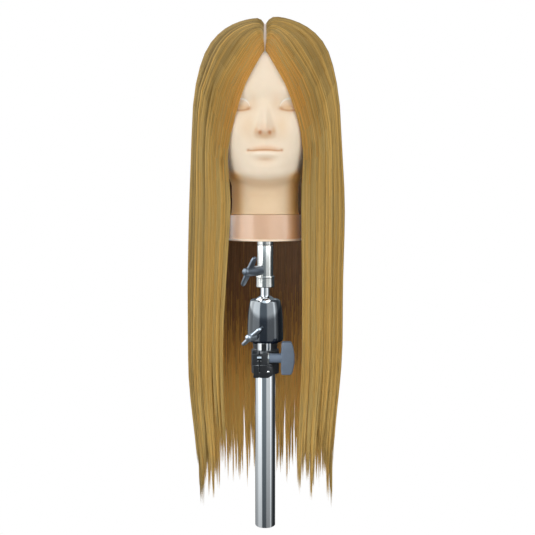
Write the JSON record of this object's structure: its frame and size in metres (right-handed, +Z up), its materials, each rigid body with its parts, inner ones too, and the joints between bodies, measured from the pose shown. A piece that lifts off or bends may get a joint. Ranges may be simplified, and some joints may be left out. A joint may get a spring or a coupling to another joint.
{
  "type": "mannequin training head",
  "caption": "Hairdressing practice head with long straight centre-parted hair, on a ball-jointed holder with wing screws, a sliding mast and a split clamp on a stand pole.",
  "frame": {"origin": "centre of the stand pole's lower end, on the end face of its bung", "axes": "+Z up along the pole, -Y the way the face looks, +X to the right as one looks at the face"},
  "size_m": [0.2148, 0.2203, 0.6999],
  "materials": {
    "chrome": "polished",
    "nickel": "satin",
    "steel": "satin",
    "black_plastic": "satin",
    "gloss_black": "gloss",
    "nylon": "satin",
    "brass": "satin",
    "silver_cast": "satin",
    "dark_cast": "satin",
    "grey_plastic": "satin",
    "base_plastic": "satin",
    "peach_plastic": "gloss",
    "vinyl_skin": "satin",
    "foam": "matte",
    "hair": "satin",
    "fringe_hair": "satin"
  },
  "bodies": {
    "pole": {"pole_tube": "chrome", "pole_end_bung": "black_plastic", "pole_top_bush": "nylon", "clamp_collar": "black_plastic", "clamp_nut": "steel", "clamp_rivet": "chrome"},
    "clamp_washer": {"clamp_washer": "steel"},
    "tee_knob": {"tee_knob": "grey_plastic", "clamp_bolt": "steel"},
    "mast_bush": {"mast_foot_bush": "nylon"},
    "mast": {"inner_mast": "chrome", "mast_foot_cap": "black_plastic", "bush_retaining_clip": "steel", "ball_housing": "gloss_black", "housing_base_ring": "steel"},
    "ball_lock_pad": {"ball_lock_pad": "brass"},
    "ball_lock_screw": {"ball_lock_wings": "silver_cast", "ball_lock_stud": "steel"},
    "ball_seat": {"ball_seat": "nylon"},
    "head": {"ball_stem": "chrome", "stem_nut": "steel", "socket_collar": "nickel", "socket_tube": "nickel", "neck_pipe": "nickel", "neck_base_plug": "base_plastic", "neck_ring": "peach_plastic", "head_skin": "vinyl_skin", "foam_core": "foam", "hair_crown_left": "hair", "hair_crown_right": "hair", "hair_front_left": "fringe_hair", "hair_front_right": "fringe_hair", "hair_side_left": "hair", "hair_side_right": "hair", "hair_back": "hair"},
    "peg_pad": {"peg_pad": "brass"},
    "peg_screw": {"peg_wings": "dark_cast", "peg_stud": "steel"}
  },
  "joints": [
    {"name": "clamp_travel", "type": "slide", "parent": "pole", "child": "clamp_washer", "axis": [1, 0, 0], "range_m": [0, 0.00187]},
    {"name": "clamp_turn", "type": "hinge", "parent": "clamp_washer", "child": "tee_knob", "pos_m": [0, -0.0275, 0.2434], "axis": [1, 0, 0], "range_deg": [0, 540]},
    {"name": "mast_height", "type": "slide", "parent": "pole", "child": "mast_bush", "axis": [0, 0, 1], "range_m": [0, 0.12]},
    {"name": "mast_turn", "type": "hinge", "parent": "mast_bush", "child": "mast", "pos_m": [0, 0, 0.062], "axis": [0, 0, 1], "range_deg": [-200, 25]},
    {"name": "ball_lock_travel", "type": "slide", "parent": "mast", "child": "ball_lock_pad", "axis": [-0.5592, -0.829, 0], "range_m": [0, 0.00218]},
    {"name": "ball_lock_turn", "type": "hinge", "parent": "ball_lock_pad", "child": "ball_lock_screw", "pos_m": [0, 0, 0.2723], "axis": [-0.5592, -0.829, 0], "range_deg": [0, 630]},
    {"name": "ball_swivel", "type": "hinge", "parent": "mast", "child": "ball_seat", "pos_m": [0, 0, 0.31], "axis": [0, 0, 1], "continuous": true},
    {"name": "head_tilt", "type": "hinge", "parent": "ball_seat", "child": "head", "pos_m": [0, 0, 0.31], "axis": [1, 0, 0], "range_deg": [-30, 35], "deforming": ["hair_front_left", "hair_front_right", "hair_side_left", "hair_side_right", "hair_back"]},
    {"name": "peg_travel", "type": "slide", "parent": "head", "child": "peg_pad", "axis": [-0.5878, -0.809, 0], "range_m": [0, 0.00218]},
    {"name": "peg_turn", "type": "hinge", "parent": "peg_pad", "child": "peg_screw", "pos_m": [0, 0, 0.3615], "axis": [-0.5878, -0.809, 0], "range_deg": [0, 630]}
  ],
  "couplings": [
    {"joint": "clamp_turn", "follows": "clamp_travel", "rad_per_m": 5026.5},
    {"joint": "ball_lock_turn", "follows": "ball_lock_travel", "rad_per_m": 5026.5},
    {"joint": "peg_turn", "follows": "peg_travel", "rad_per_m": 5026.5}
  ]
}
